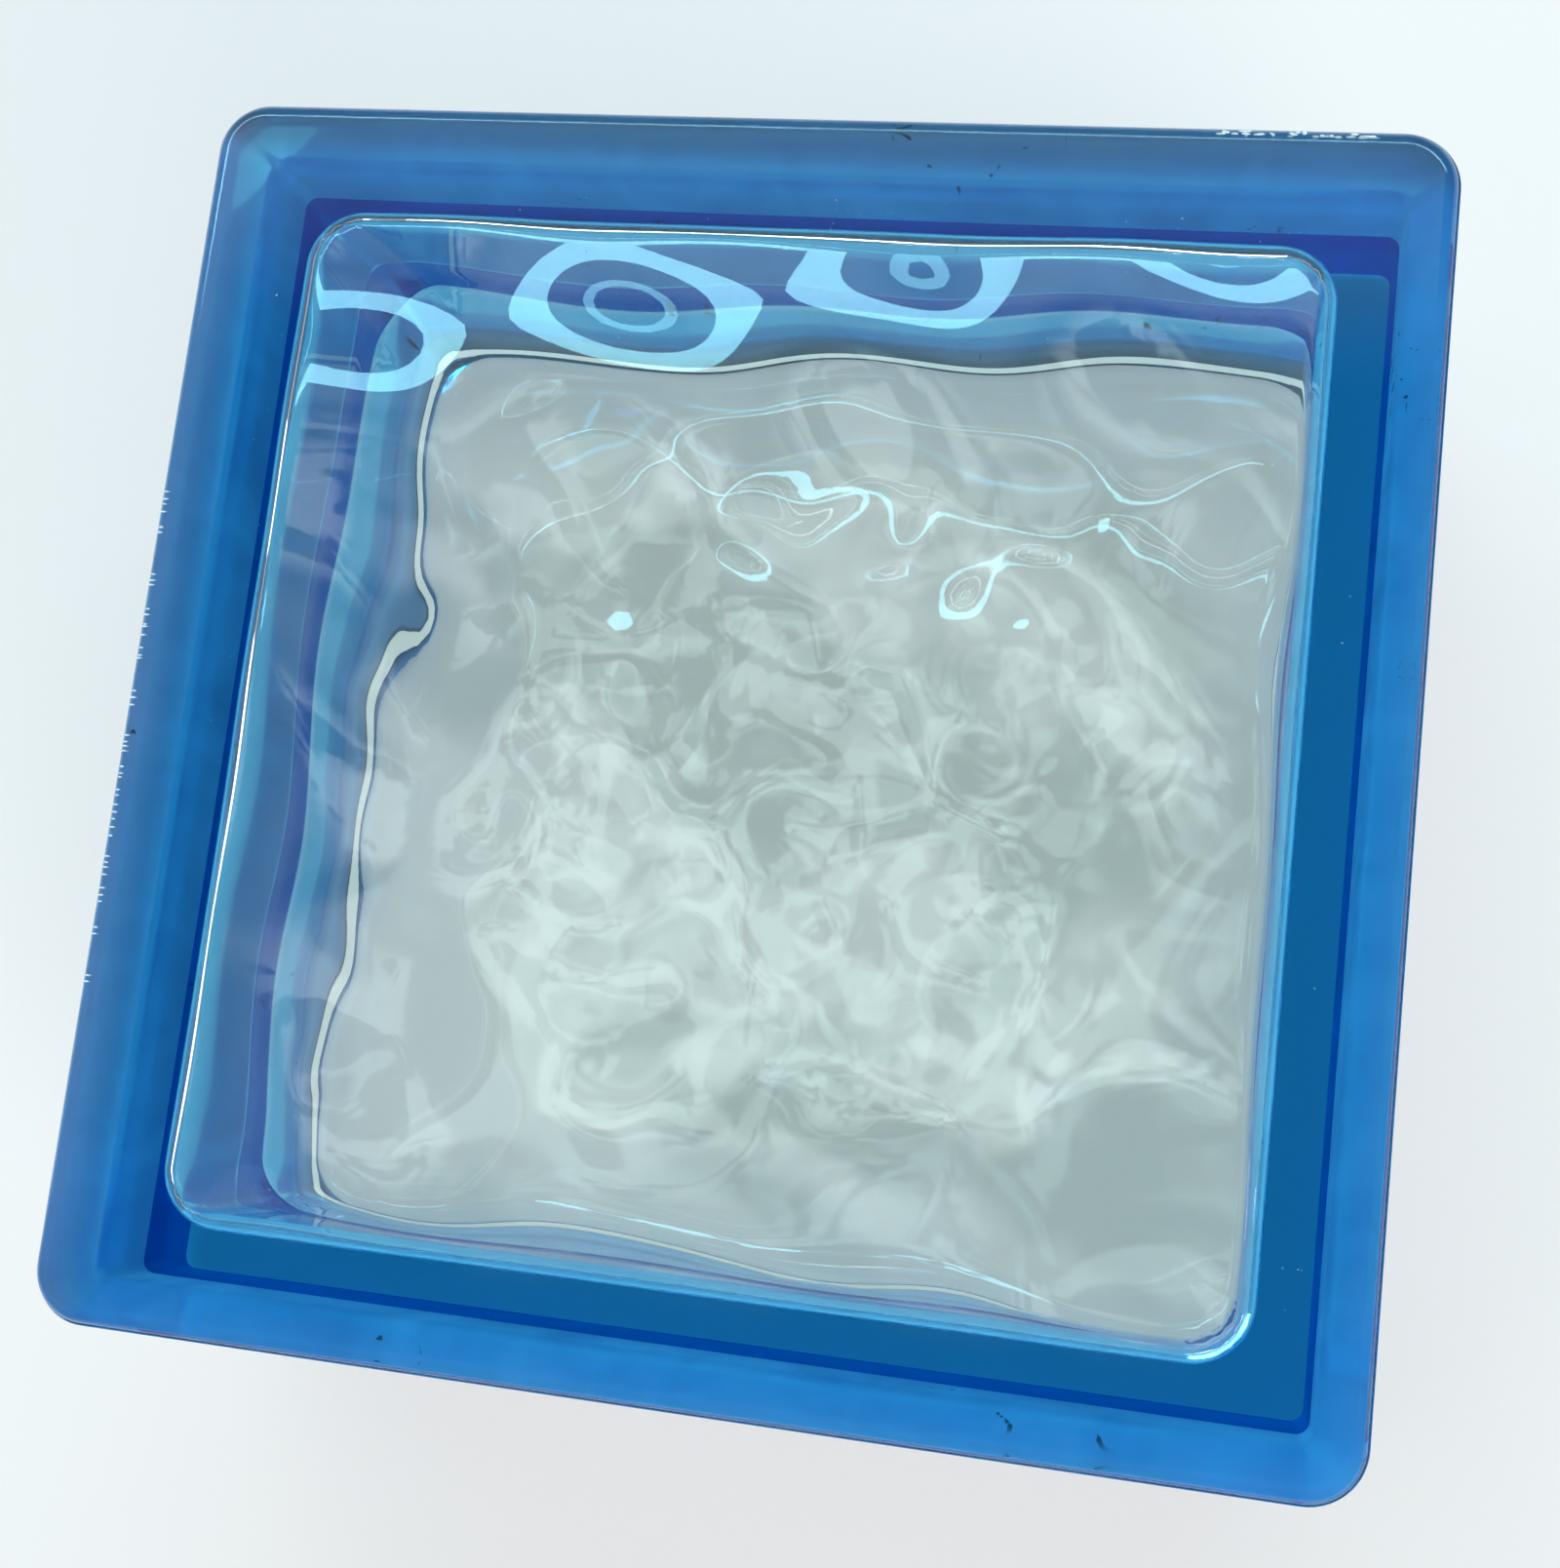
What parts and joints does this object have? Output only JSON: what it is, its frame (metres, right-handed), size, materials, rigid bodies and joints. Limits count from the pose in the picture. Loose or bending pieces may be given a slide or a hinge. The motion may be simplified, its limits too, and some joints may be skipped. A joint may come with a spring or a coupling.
{
  "type": "glass block",
  "caption": "Square hollow glass block with clear wavy panes and a blue translucent coat on its channelled mortar edges.",
  "frame": {"origin": "middle of the back face, the face that lies on the floor", "axes": "+Z through the depth and out of the front face, X and Y along the edges of the square face"},
  "size_m": [0.19, 0.19, 0.08],
  "materials": {
    "clear_glass": "clear polished soda-lime glass with a faint green tint",
    "blue_coat": "blue translucent lacquer, glossy through the glass, slightly rough outside"
  },
  "bodies": {
    "root": {"front_shell": "clear_glass", "back_shell": "clear_glass", "side_coating": "blue_coat"}
  },
  "joints": []
}
